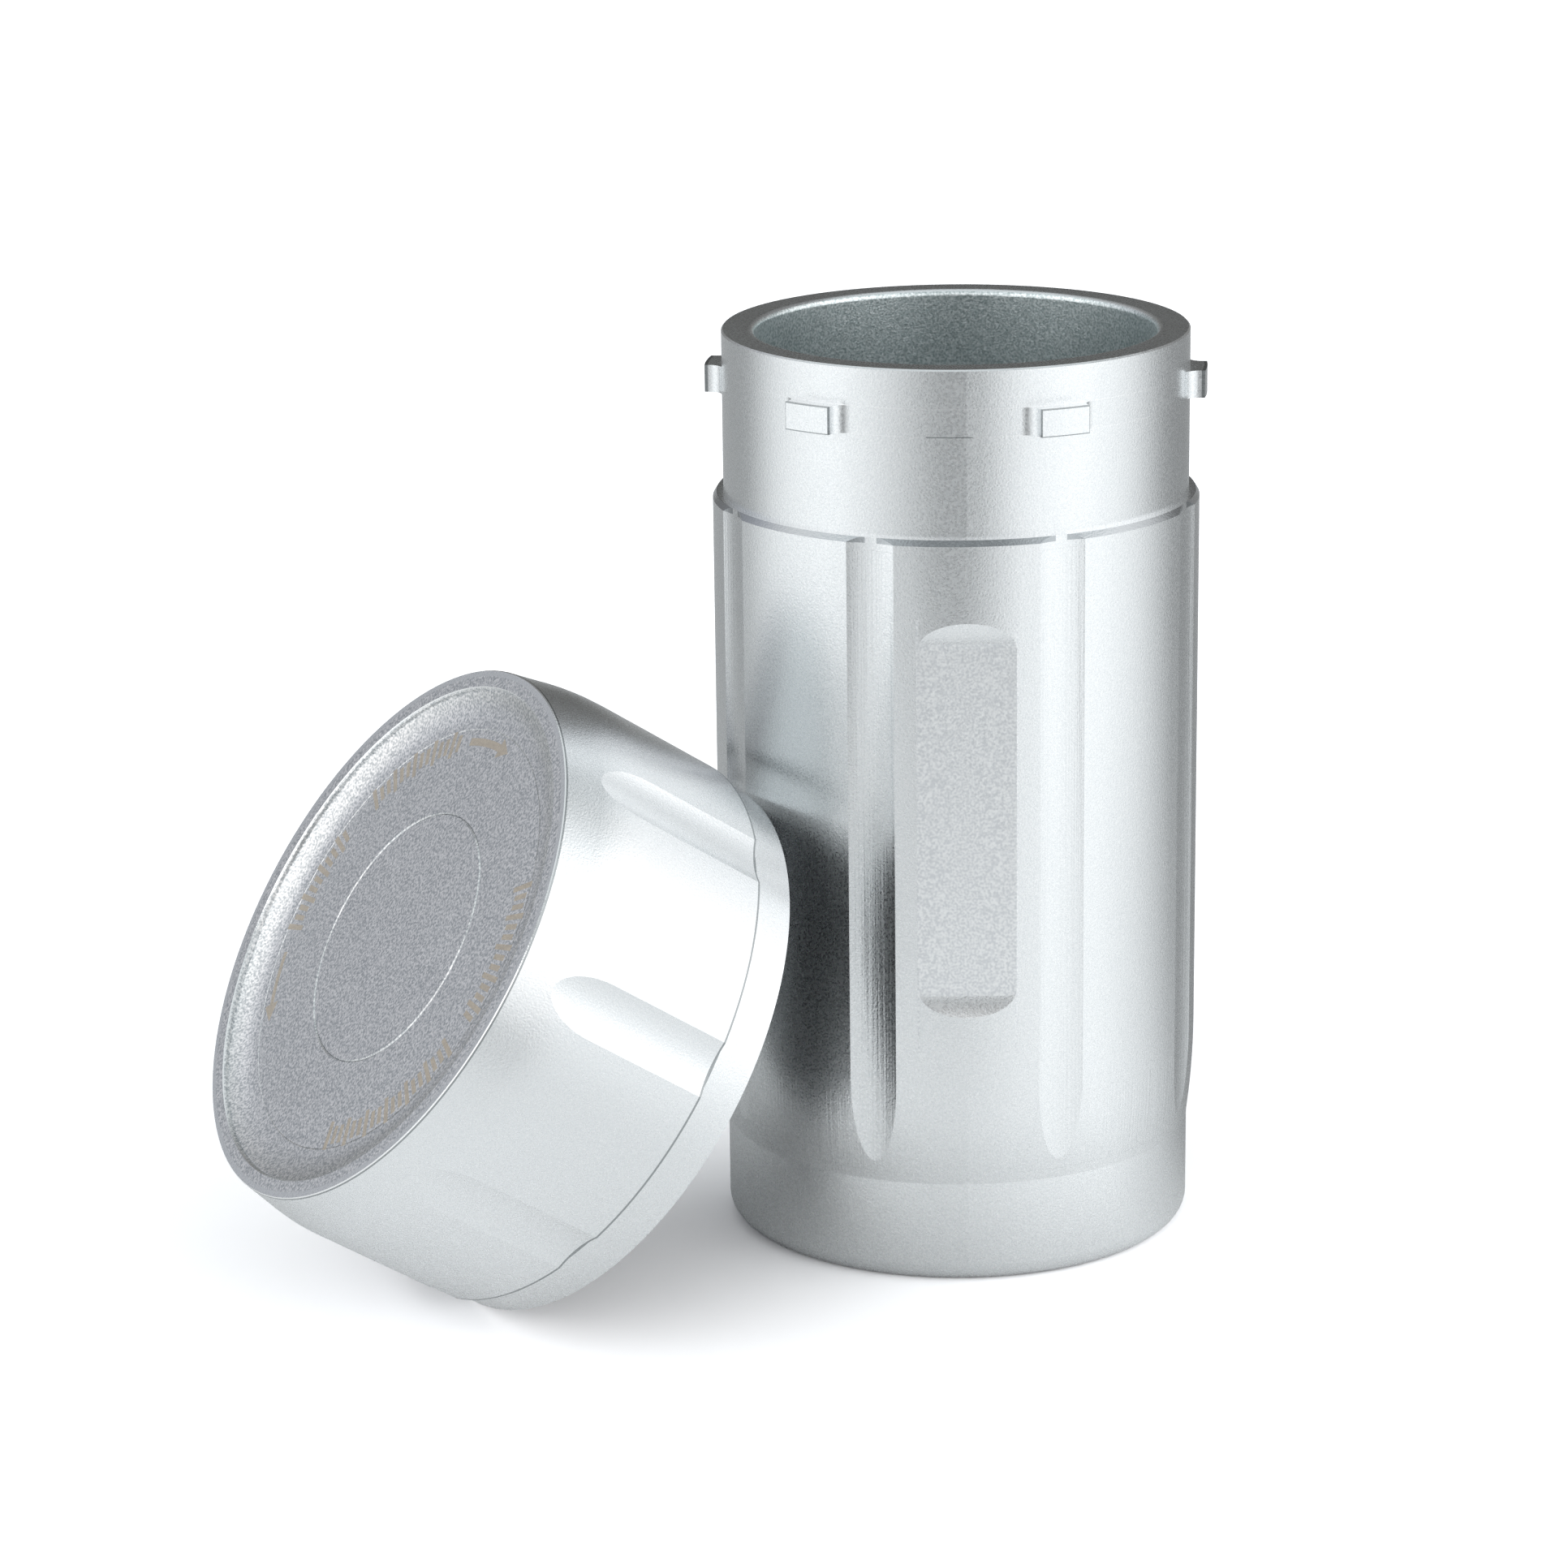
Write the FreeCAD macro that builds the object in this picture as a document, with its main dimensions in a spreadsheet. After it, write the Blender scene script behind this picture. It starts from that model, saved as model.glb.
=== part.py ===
import FreeCAD, Part
import math
import os
import Sketcher

# A round metal storage jar with a push-and-turn cap, drawn with the cap taken off and leaning on the jar.
# The jar stands on the origin with its axis on +Z.  The cap pieces are drawn on the cap's own axis, with the
# end of the cap's rim at height zero, and one placement then leans them all against the jar.

# ---------------------------------------------------------------- driving sizes (millimetres and degrees)

SIZES = [
    # jar
    ("jar_radius", 30.0, "outside of the jar's body"),
    ("jar_height", 113.8, "base to mouth"),
    ("neck_height", 20.2, "mouth down to the shoulder"),
    ("shoulder_width", 1.3, "ledge between the body and the neck"),
    ("shoulder_chamfer_width", 0.45, "bevel round the shoulder, across"),
    ("shoulder_chamfer_height", 0.7, "bevel round the shoulder, down"),
    ("neck_wall", 4.0, "metal round the bore at the neck"),
    ("mouth_chamfer", 0.2, "outer edge of the mouth"),
    ("mouth_rounding", 0.8, "inner edge of the mouth"),
    ("floor_thickness", 4.0, "under the inside floor"),
    ("floor_rounding", 3.0, "inside corner between wall and floor"),
    ("foot_draw", 0.84, "how far the straight band at the foot is drawn in"),
    ("foot_height", 12.84, "height of the straight band"),
    ("foot_rounding", 2.2, "outer edge of the base"),
    ("foot_blend_radius", 99.0, "long curve from the body in to the foot"),
    # flutes and panel
    ("flute_count", 8, "flutes round the jar, and round the cap"),
    ("flute_cutter_radius", 11.5, "section of a flute"),
    ("jar_flute_depth", 0.54, "depth of a jar flute"),
    ("cap_flute_depth", 0.7, "depth of a cap flute"),
    ("panel_depth", 0.59, "flat milled on the jar between two flutes"),
    ("panel_setback", 13.4, "shoulder down to the flat"),
    ("panel_length", 42.3, "flat, without the run-outs"),
    ("panel_cutter_radius", 10.0, "run-out at each end of the flat"),
    # bayonet lugs
    ("lug_count", 6, "lugs round the neck"),
    ("lug_rise", 2.1, "how far a lug stands out from the neck"),
    ("lug_width", 6.2, "across a lug's outer face"),
    ("lug_setback", 4.7, "mouth down to the top of the lugs"),
    ("lug_thickness", 3.35, "height of a lug"),
    ("lug_corner_radius", 1.8, "hollow corner between a lug's side and the neck"),
    # cap shell
    ("cap_height", 33.59, "rim to top"),
    ("rim_wall", 2.19, "metal of the plain band at the rim, round the sleeve"),
    ("band_step", 0.82, "how far the cap's side stands out from that band"),
    ("rim_length", 5.38, "height of the plain band"),
    ("crown_height", 11.39, "top part of the cap's side, which draws in"),
    ("crown_blend_radius", 33.0, "curve at the start of the crown"),
    ("crown_angle", 11.75, "slope of the crown above that curve"),
    ("crown_edge", 0.12, "bevel round the top face"),
    ("top_land", 2.42, "flat ring and its bevels round the dish"),
    ("recess_depth", 1.86, "depth of the dish"),
    ("recess_rounding", 1.2, "corner of the dish"),
    ("recess_edge", 0.25, "bevel round the dish"),
    ("top_thickness", 3.2, "metal under the dish"),
    ("disc_radius", 16.12, "inset disc in the middle of the dish"),
    ("disc_thickness", 1.2, "inset disc"),
    ("disc_edge", 0.15, "bevels that make the fine ring round the disc"),
    ("fit_gap", 0.05, "between pieces that are pressed or bonded together"),
    # inside the cap
    ("sleeve_wall", 1.8, "bayonet sleeve round the lugs"),
    ("sleeve_inset", 0.6, "sleeve set back from the cap's rim"),
    ("ledge_thickness", 4.4, "inward ledge that the lugs lock over"),
    ("neck_clearance", 0.6, "ledge and retaining ring round the neck"),
    ("lug_clearance", 0.4, "sleeve and cap bore round the lugs"),
    ("slot_clearance", 1.1, "each side of a lug in its entry slot"),
    ("pocket_clearance", 0.4, "each side of a lug in its locking pocket"),
    ("pocket_depth", 0.8, "locking pockets in the ledge"),
    ("closed_press", 0.6, "how far the mouth holds the gasket up when the lugs rest in the pockets"),
    ("lead_in", 0.4, "bevels at the mouths of the cap and sleeve"),
    ("plate_clearance", 0.8, "pressure plate in the cap's bore"),
    ("plate_thickness", 2.0, "pressure plate"),
    ("plate_travel", 1.8, "how far the plate pushes into the cap"),
    ("ring_thickness", 1.0, "retaining ring"),
    ("ring_groove_depth", 0.7, "groove for the retaining ring"),
    ("ring_split", 6.0, "gap in the retaining ring"),
    ("running_gap", 0.1, "between pieces that slide or turn"),
    ("gasket_overhang", 0.2, "gasket past the outside of the neck"),
    ("gasket_inset", 0.5, "gasket past the inside of the neck"),
    ("gasket_thickness", 1.6, "gasket"),
    ("gasket_proud", 0.8, "how far the gasket stands below the plate"),
    ("gasket_edge", 0.3, "bevels on the gasket's sealing side"),
    ("spring_setback", 3.9, "plate's edge to the wave spring"),
    ("spring_width", 5.0, "strip of the spring, across"),
    ("spring_strip", 0.45, "thickness of the spring's strip"),
    ("spring_turns", 3, "turns of the wave spring"),
    ("spring_spare", 0.68, "left of the spring's room when the plate is fully in"),
    ("spring_waves", 4, "crests in each turn"),
    ("locating_lip", 0.9, "height of the lip that centres the spring"),
    ("lip_width", 1.2, "width of that lip"),
    ("spring_clearance", 0.4, "between the spring and its lip"),
    ("washer_thickness", 0.8, "slip washer between the spring and the cap"),
    # the cap leaning on the jar
    ("lean_azimuth", 208.3, "side of the jar that the cap leans on, turned from +X"),
    ("lean_angle", 56.6, "cap's axis from upright"),
    ("lean_gap", 0.2, "between the cap's rim and the jar"),
    ("cap_spin", 8.4, "cap turned on its own axis"),
    ("jar_spin", -87.5, "jar turned on its axis, so that the flat faces forward"),
]

document = FreeCAD.newDocument("LockingJar")
sheet = document.addObject("Spreadsheet::Sheet", "Sizes")
for row, (alias, value, note) in enumerate(SIZES, start=1):
    sheet.set(f"A{row}", alias)
    sheet.set(f"B{row}", str(value))
    sheet.set(f"C{row}", note)
    sheet.setAlias(f"B{row}", alias)
document.recompute()


class Size:
    """A length that knows both its value now and the expression over the sheet that gives it."""

    def __init__(self, number, text):
        self.number = float(number)
        self.text = text

    def _join(self, other, sign, number):
        other_text = other.text if isinstance(other, Size) else repr(other)
        return Size(number, f"({self.text} {sign} {other_text})")

    def __add__(self, other):
        return self._join(other, "+", self.number + number_of(other))

    def __sub__(self, other):
        return self._join(other, "-", self.number - number_of(other))

    def __mul__(self, other):
        return self._join(other, "*", self.number * number_of(other))

    def __truediv__(self, other):
        return self._join(other, "/", self.number / number_of(other))

    def __neg__(self):
        return Size(-self.number, f"(-{self.text})")


def number_of(size):
    return size.number if isinstance(size, Size) else size


def root(size):
    return Size(math.sqrt(size.number), f"sqrt({size.text})")


def chord_reach(radius, half_width):
    """How far out a circle of this radius is, at this distance to one side of its centre line."""
    return root(radius * radius - half_width * half_width)


def sine(angle):
    return Size(math.sin(math.radians(angle.number)), f"sin({angle.text} * 1 deg)")


def cosine(angle):
    return Size(math.cos(math.radians(angle.number)), f"cos({angle.text} * 1 deg)")


ZERO = Size(0.0, "0")


def size(alias):
    return Size(sheet.get(alias), f"Sizes.{alias}")


# ---------------------------------------------------------------- what follows from the sizes

# radii, from the jar's bore out to the side of the cap
neck_radius = size("jar_radius") - size("shoulder_width")
bore_radius = neck_radius - size("neck_wall")
lug_radius = neck_radius + size("lug_rise")
lug_bore = lug_radius + size("lug_clearance")
ledge_radius = neck_radius + size("neck_clearance")
sleeve_radius = lug_bore + size("sleeve_wall")
sleeve_bore = sleeve_radius + size("fit_gap")
rim_radius = sleeve_bore + size("rim_wall")
cap_radius = rim_radius + size("band_step")
plate_radius = lug_bore - size("plate_clearance")
spring_outer = plate_radius - size("spring_setback")
spring_inner = spring_outer - size("spring_width")

# heights on the jar
shoulder = size("jar_height") - size("neck_height")
lug_low = size("jar_height") - size("lug_setback") - size("lug_thickness")

# heights in the cap, from its ceiling down: the mouth lifts the gasket while the lugs sit in their pockets
ceiling = size("cap_height") - size("recess_depth") - size("top_thickness")
washer_top = ceiling - size("running_gap")
washer_low = washer_top - size("washer_thickness")
spring_room = size("spring_turns") * size("spring_strip") + size("plate_travel") + size("spring_spare")
plate_top = washer_low - spring_room
plate_low = plate_top - size("plate_thickness")
gasket_low = plate_low - size("gasket_proud")
closed_lug_low = gasket_low + size("closed_press") - size("lug_setback") - size("lug_thickness")
sleeve_top = closed_lug_low + size("pocket_depth")
ring_top = plate_low - size("running_gap")
ring_low = ring_top - size("ring_thickness")


# ---------------------------------------------------------------- sketches and features

def new_body(label):
    body = document.addObject("PartDesign::Body", label)
    body.Label = label
    return body


def new_sketch(body, name, plane_role, height=None, turn=None):
    """A sketch on one of the body's own origin planes, raised or turned where asked."""
    sketch = body.newObject("Sketcher::SketchObject", name)
    plane = [item for item in body.Origin.OriginFeatures if item.Role == plane_role][0]
    sketch.AttachmentSupport = [(plane, "")]
    sketch.MapMode = "FlatFace"
    if turn is not None:
        up = FreeCAD.Vector(0, 0, 1) if plane_role == "XY_Plane" else FreeCAD.Vector(0, 1, 0)
        sketch.AttachmentOffset = FreeCAD.Placement(FreeCAD.Vector(), FreeCAD.Rotation(up, turn.number))
        sketch.setExpression(".AttachmentOffset.Rotation.Angle", turn.text)
    if height is not None:
        sketch.setExpression(".AttachmentOffset.Base.z", height.text)
    return sketch


def pin_point(sketch, edge, end, x, y):
    """Fix one end of an edge at x, y from the sketch's origin, bound to the sheet."""
    for kind, along, axis in (("DistanceX", x, -2), ("DistanceY", y, -1)):
        if along.number == 0.0:
            sketch.addConstraint(Sketcher.Constraint("PointOnObject", edge, end, axis))
        else:
            index = sketch.addConstraint(Sketcher.Constraint(kind, -1, 1, edge, end, along.number))
            sketch.setExpression(f"Constraints[{index}]", along.text)


def arc_between(start, finish, radius, turns_left):
    """The shorter arc of this radius from start to finish, bending left or right as it goes."""
    half = (finish - start) * 0.5
    reach = math.sqrt(max(radius ** 2 - half.Length ** 2, 0.0))
    left = FreeCAD.Vector(-half.y, half.x, 0).normalize()
    centre = start + half + left * (reach if turns_left else -reach)
    middle_way = (start + half - centre)
    if middle_way.Length < 1e-9:
        middle_way = -left if turns_left else left
    middle = centre + middle_way.normalize() * radius
    return start, middle, finish


def outline(sketch, corners):
    """A closed outline.  Each corner is (x, y) or (x, y, radius, "left" or "right"), where the radius is
    that of the arc that runs from this corner to the next."""
    points = [FreeCAD.Vector(corner[0].number, corner[1].number, 0) for corner in corners]
    edges = []
    for index, corner in enumerate(corners):
        start, finish = points[index], points[(index + 1) % len(points)]
        if len(corner) == 2:
            edges.append((sketch.addGeometry(Part.LineSegment(start, finish), False), 1, 2))
            continue
        turns_left = corner[3] == "left"
        first, middle, last = arc_between(start, finish, corner[2].number, turns_left)
        edge = sketch.addGeometry(Part.Arc(first, middle, last), False)
        # an arc is stored counter-clockwise, so one that bends right runs from its end to its start
        edges.append((edge, 1, 2) if turns_left else (edge, 2, 1))
    for index, (edge, _, last) in enumerate(edges):
        following, first, _ = edges[(index + 1) % len(edges)]
        sketch.addConstraint(Sketcher.Constraint("Coincident", edge, last, following, first))
    for (edge, first, _), corner in zip(edges, corners):
        pin_point(sketch, edge, first, corner[0], corner[1])
        if len(corner) == 4:
            index = sketch.addConstraint(Sketcher.Constraint("Radius", edge, corner[2].number))
            sketch.setExpression(f"Constraints[{index}]", corner[2].text)


def circle(sketch, x, radius):
    centre = FreeCAD.Vector(x.number, 0, 0)
    edge = sketch.addGeometry(Part.Circle(centre, FreeCAD.Vector(0, 0, 1), radius.number), False)
    pin_point(sketch, edge, 3, x, ZERO)
    index = sketch.addConstraint(Sketcher.Constraint("Radius", edge, radius.number))
    sketch.setExpression(f"Constraints[{index}]", radius.text)


def turned(body, name, corners):
    """A solid of revolution about the body's own Z axis from an outline of (radius, height) corners."""
    sketch = new_sketch(body, name + "_profile", "XZ_Plane")
    outline(sketch, corners)
    feature = body.newObject("PartDesign::Revolution", name)
    feature.Profile = sketch
    feature.ReferenceAxis = (sketch, ["V_Axis"])
    feature.Angle = 360
    return feature


def volume_changes(body, feature, grows):
    """Recompute and make sure that a cut really cut, and that a pad really added."""
    document.recompute()
    before, after = feature.BaseFeature.Shape.Volume, feature.Shape.Volume
    if (after > before) != grows or abs(after - before) < 1e-3:
        raise RuntimeError(f"{body.Label}.{feature.Name} changed nothing: {before:.3f} to {after:.3f}")


def upward(body, kind, name, sketch, length):
    """A pad or a pocket that goes from its sketch towards +Z."""
    feature = body.newObject(kind, name)
    feature.Profile = sketch
    feature.setExpression("Length", length.text)
    feature.Reversed = kind == "PartDesign::Pocket"
    volume_changes(body, feature, grows=kind == "PartDesign::Pad")
    return feature


def around(body, name, feature, count):
    """The feature repeated round the body's Z axis."""
    pattern = body.newObject("PartDesign::PolarPattern", name)
    pattern.Originals = [feature]
    pattern.Axis = (feature.Profile[0], ["N_Axis"])
    pattern.Angle = 360
    pattern.setExpression("Occurrences", count.text)
    body.Tip = pattern
    volume_changes(body, pattern, grows=feature.TypeId == "PartDesign::Pad")
    return pattern


def slot_plan(sketch, inner, outer, half_width):
    """Parallel sides that cut the ring between two circles about the axis; the inner end is in the open."""
    start = chord_reach(inner, half_width) - size("lead_in")
    reach = chord_reach(outer, half_width)
    outline(sketch, [
        (start, -half_width),
        (reach, -half_width, outer, "left"),
        (reach, half_width),
        (start, half_width),
    ])


# ---------------------------------------------------------------- the jar

def make_jar():
    body = new_body("jar_body")
    height, radius = size("jar_height"), size("jar_radius")
    neck, bore = neck_radius, bore_radius
    foot, foot_height = radius - size("foot_draw"), size("foot_height")
    rounding, blend = size("foot_rounding"), size("foot_blend_radius")
    chamfer, mouth_rounding = size("mouth_chamfer"), size("mouth_rounding")
    floor, floor_rounding = size("floor_thickness"), size("floor_rounding")
    blend_top = foot_height + root(size("foot_draw") * (blend * 2 - size("foot_draw")))
    turned(body, "jar_turning", [
        (ZERO, ZERO),
        (foot - rounding, ZERO, rounding, "left"),
        (foot, rounding),
        (foot, foot_height, blend, "left"),
        (radius, blend_top),
        (radius, shoulder - size("shoulder_chamfer_height")),
        (radius - size("shoulder_chamfer_width"), shoulder),
        (neck, shoulder),
        (neck, height - chamfer),
        (neck - chamfer, height),
        (bore + mouth_rounding, height, mouth_rounding, "left"),
        (bore, height - mouth_rounding),
        (bore, floor + floor_rounding, floor_rounding, "right"),
        (bore - floor_rounding, floor),
        (ZERO, floor),
    ])

    half_step = Size(180.0, "180") / size("flute_count")
    flute_sketch = new_sketch(body, "jar_flute_section", "XY_Plane", turn=half_step)
    cutter = size("flute_cutter_radius")
    circle(flute_sketch, radius - size("jar_flute_depth") + cutter, cutter)
    flute = upward(body, "PartDesign::Pocket", "jar_flute", flute_sketch, shoulder)
    around(body, "jar_flutes", flute, size("flute_count"))

    panel_floor = radius - size("panel_depth")
    clear_of_jar = radius + size("panel_depth")
    panel_high = shoulder - size("panel_setback")
    panel_low = panel_high - size("panel_length")
    panel_cutter, rise = size("panel_cutter_radius"), size("panel_depth") * 2
    run_out = root(rise * (panel_cutter * 2 - rise))
    panel_sketch = new_sketch(body, "panel_section", "XZ_Plane")
    outline(panel_sketch, [
        (panel_floor, panel_high, panel_cutter, "right"),
        (clear_of_jar, panel_high + run_out),
        (clear_of_jar, panel_low - run_out, panel_cutter, "right"),
        (panel_floor, panel_low),
    ])
    panel = body.newObject("PartDesign::Pocket", "panel")
    panel.Profile = panel_sketch
    panel.Midplane = True
    panel.setExpression("Length", radius.text)
    volume_changes(body, panel, grows=False)

    corner, half_width = size("lug_corner_radius"), size("lug_width") / 2
    corner_y = half_width + corner
    corner_x = chord_reach(neck + corner, corner_y)
    on_neck = neck / (neck + corner)
    root_depth = neck - corner
    lug_reach = chord_reach(lug_radius, half_width)
    lug_sketch = new_sketch(body, "lug_plan", "XY_Plane", height=lug_low, turn=half_step)
    outline(lug_sketch, [
        (root_depth, -corner_y * on_neck),
        (corner_x * on_neck, -corner_y * on_neck, corner, "right"),
        (corner_x, -half_width),
        (lug_reach, -half_width, lug_radius, "left"),
        (lug_reach, half_width),
        (corner_x, half_width, corner, "right"),
        (corner_x * on_neck, corner_y * on_neck),
        (root_depth, corner_y * on_neck),
    ])
    lug = upward(body, "PartDesign::Pad", "lug", lug_sketch, size("lug_thickness"))
    around(body, "lugs", lug, size("lug_count"))
    return body


# ---------------------------------------------------------------- the cap

def make_cap_shell():
    body = new_body("cap_shell")
    radius, height, lead = cap_radius, size("cap_height"), size("lead_in")
    blend, slope = size("crown_blend_radius"), size("crown_angle")
    crown_low = height - size("crown_height")
    crown_mid = crown_low + blend * sine(slope)
    crown_mid_radius = radius - blend * (Size(1.0, "1") - cosine(slope))
    edge = size("crown_edge")
    top_radius = crown_mid_radius - (height - edge - crown_mid) * sine(slope) / cosine(slope)
    recess, depth = top_radius - size("top_land"), size("recess_depth")
    rounding, bevel = size("recess_rounding"), size("recess_edge")
    seat_radius, seat_floor = size("disc_radius") + size("fit_gap"), height - depth - size("disc_thickness")
    sleeve_shoulder = sleeve_top + size("fit_gap")
    groove_radius = lug_bore + size("ring_groove_depth")
    turned(body, "cap_turning", [
        (sleeve_bore + lead, ZERO),
        (rim_radius, ZERO),
        (rim_radius, size("rim_length")),
        (radius, size("rim_length")),
        (radius, crown_low, blend, "left"),
        (crown_mid_radius, crown_mid),
        (top_radius, height - edge),
        (top_radius - edge, height),
        (recess + bevel, height),
        (recess, height - bevel),
        (recess, height - depth + rounding, rounding, "right"),
        (recess - rounding, height - depth),
        (seat_radius + size("disc_edge"), height - depth),
        (seat_radius, height - depth - size("disc_edge")),
        (seat_radius, seat_floor),
        (ZERO, seat_floor),
        (ZERO, ceiling),
        (lug_bore, ceiling),
        (lug_bore, ring_top + size("fit_gap")),
        (groove_radius, ring_top + size("fit_gap")),
        (groove_radius, ring_low - size("fit_gap")),
        (lug_bore, ring_low - size("fit_gap")),
        (lug_bore, sleeve_shoulder),
        (sleeve_bore, sleeve_shoulder),
        (sleeve_bore, lead),
    ])
    flute_sketch = new_sketch(body, "cap_flute_section", "XY_Plane")
    cutter = size("flute_cutter_radius")
    circle(flute_sketch, radius - size("cap_flute_depth") + cutter, cutter)
    flute = upward(body, "PartDesign::Pocket", "cap_flute", flute_sketch, height)
    around(body, "cap_flutes", flute, size("flute_count"))
    return body


def make_centre_disc():
    body = new_body("centre_disc")
    radius, edge = size("disc_radius"), size("disc_edge")
    top = size("cap_height") - size("recess_depth")
    bottom = top - size("disc_thickness") + size("fit_gap")
    turned(body, "disc_turning", [
        (ZERO, bottom), (radius, bottom), (radius, top - edge), (radius - edge, top), (ZERO, top),
    ])
    return body


def make_bayonet_sleeve():
    body = new_body("bayonet_sleeve")
    low, lead = size("sleeve_inset"), size("lead_in")
    ledge_low = sleeve_top - size("ledge_thickness")
    turned(body, "sleeve_turning", [
        (lug_bore + lead, low),
        (sleeve_radius, low),
        (sleeve_radius, sleeve_top),
        (ledge_radius, sleeve_top),
        (ledge_radius, ledge_low),
        (lug_bore, ledge_low),
        (lug_bore, low + lead),
    ])
    half_lug = size("lug_width") / 2 + size("lug_corner_radius")
    slot_sketch = new_sketch(body, "entry_slot_plan", "XY_Plane", height=ledge_low - lead)
    slot_plan(slot_sketch, ledge_radius, lug_bore, half_lug + size("slot_clearance"))
    slot = upward(body, "PartDesign::Pocket", "entry_slot", slot_sketch, size("ledge_thickness") + lead * 2)
    around(body, "entry_slots", slot, size("lug_count"))

    half_step = Size(180.0, "180") / size("lug_count")
    pocket_sketch = new_sketch(body, "locking_pocket_plan", "XY_Plane", height=closed_lug_low, turn=half_step)
    slot_plan(pocket_sketch, ledge_radius, lug_bore, half_lug + size("pocket_clearance"))
    pocket = upward(body, "PartDesign::Pocket", "locking_pocket", pocket_sketch, size("pocket_depth") + lead)
    around(body, "locking_pockets", pocket, size("lug_count"))
    return body


def make_retaining_ring():
    body = new_body("retaining_ring")
    outer, lead = lug_bore + size("ring_groove_depth") - size("running_gap"), size("lead_in")
    turned(body, "ring_turning", [
        (ledge_radius, ring_low), (outer, ring_low), (outer, ring_top), (ledge_radius, ring_top),
    ])
    split_sketch = new_sketch(body, "ring_split_plan", "XY_Plane", height=ring_low - lead)
    slot_plan(split_sketch, ledge_radius, outer + lead, size("ring_split") / 2)
    upward(body, "PartDesign::Pocket", "split", split_sketch, size("ring_thickness") + lead * 2)
    return body


def make_pressure_plate():
    body = new_body("pressure_plate")
    groove_floor = gasket_low + size("gasket_thickness")
    groove_outer = neck_radius + size("gasket_overhang") + size("fit_gap")
    groove_inner = bore_radius - size("gasket_inset") - size("fit_gap")
    lip_outer = spring_inner - size("spring_clearance")
    lip_inner = lip_outer - size("lip_width")
    edge = size("mouth_chamfer")
    turned(body, "plate_turning", [
        (ZERO, plate_low),
        (groove_inner, plate_low),
        (groove_inner, groove_floor),
        (groove_outer, groove_floor),
        (groove_outer, plate_low),
        (plate_radius, plate_low),
        (plate_radius, plate_top - edge),
        (plate_radius - edge, plate_top),
        (lip_outer, plate_top),
        (lip_outer, plate_top + size("locating_lip")),
        (lip_inner, plate_top + size("locating_lip")),
        (lip_inner, plate_top),
        (ZERO, plate_top),
    ])
    return body


def make_sealing_gasket():
    body = new_body("sealing_gasket")
    inner, outer = bore_radius - size("gasket_inset"), neck_radius + size("gasket_overhang")
    low, edge = gasket_low, size("gasket_edge")
    top = low + size("gasket_thickness") - size("fit_gap")
    turned(body, "gasket_turning", [
        (inner + edge, low),
        (outer - edge, low),
        (outer, low + edge),
        (outer, top),
        (inner, top),
        (inner, low + edge),
    ])
    return body


def make_slip_washer():
    body = new_body("slip_washer")
    inner, outer = spring_inner - size("lip_width"), spring_outer + size("lip_width")
    section = [(inner, washer_low), (outer, washer_low), (outer, washer_top), (inner, washer_top)]
    turned(body, "washer_turning", section)
    return body


def wavy_ring(inner, outer, middle, swing, waves, phase, thickness):
    """One closed turn of a wave spring: a flat strip ring whose height follows a sine."""
    steps = waves * 8
    rails = []
    for radius in (inner, outer):
        points = []
        for step in range(steps):
            angle = 2 * math.pi * step / steps
            height = middle - thickness / 2 + swing * math.cos(waves * angle + phase)
            points.append(FreeCAD.Vector(radius * math.cos(angle), radius * math.sin(angle), height))
        rail = Part.BSplineCurve()
        rail.interpolate(Points=points, PeriodicFlag=True)
        rails.append(rail.toShape())
    strip = Part.makeRuledSurface(rails[0], rails[1])
    return strip.extrude(FreeCAD.Vector(0, 0, thickness))


def make_wave_spring():
    gap, strip = sheet.get("running_gap"), sheet.get("spring_strip")
    turns, waves = int(sheet.get("spring_turns")), int(sheet.get("spring_waves"))
    pitch = (spring_room.number - 2 * gap - strip) / turns
    swing = (pitch - gap) / 2
    rings = []
    for turn in range(turns):
        middle = plate_top.number + gap + strip / 2 + pitch * (turn + 0.5)
        phase = math.pi * (turn % 2)
        rings.append(wavy_ring(spring_inner.number, spring_outer.number, middle, swing, waves, phase, strip))
    spring = document.addObject("Part::Feature", "wave_spring")
    spring.Label = "wave_spring"
    spring.Shape = Part.makeCompound(rings)
    return spring


# ---------------------------------------------------------------- placing, checking and writing

def lean_cap(pieces):
    """Stand the cap on the lower edge of its rim, with the upper edge of the rim against the jar."""
    azimuth, lean = math.radians(sheet.get("lean_azimuth")), math.radians(sheet.get("lean_angle"))
    rim = rim_radius.number
    away = sheet.get("jar_radius") + sheet.get("lean_gap") + rim * math.cos(lean)
    base = FreeCAD.Vector(away * math.cos(azimuth), away * math.sin(azimuth), rim * math.sin(lean))
    turn = (FreeCAD.Rotation(FreeCAD.Vector(0, 0, 1), sheet.get("lean_azimuth"))
            * FreeCAD.Rotation(FreeCAD.Vector(0, 1, 0), sheet.get("lean_angle"))
            * FreeCAD.Rotation(FreeCAD.Vector(0, 0, 1), sheet.get("cap_spin")))
    for piece in pieces:
        piece.Placement = FreeCAD.Placement(base, turn)
    return base, turn.multVec(FreeCAD.Vector(0, 0, 1))


jar = make_jar()
jar_turn = FreeCAD.Rotation(FreeCAD.Vector(0, 0, 1), sheet.get("jar_spin"))
jar.Placement = FreeCAD.Placement(FreeCAD.Vector(), jar_turn)
cap_pieces = [
    make_cap_shell(),
    make_centre_disc(),
    make_bayonet_sleeve(),
    make_retaining_ring(),
    make_pressure_plate(),
    make_sealing_gasket(),
    make_slip_washer(),
    make_wave_spring(),
]
rim_centre, cap_axis = lean_cap(cap_pieces)
document.recompute()

for item in document.Objects:
    if "Invalid" in item.State or "Error" in item.State:
        raise RuntimeError(f"{item.Label} did not build: {item.State}")

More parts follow.
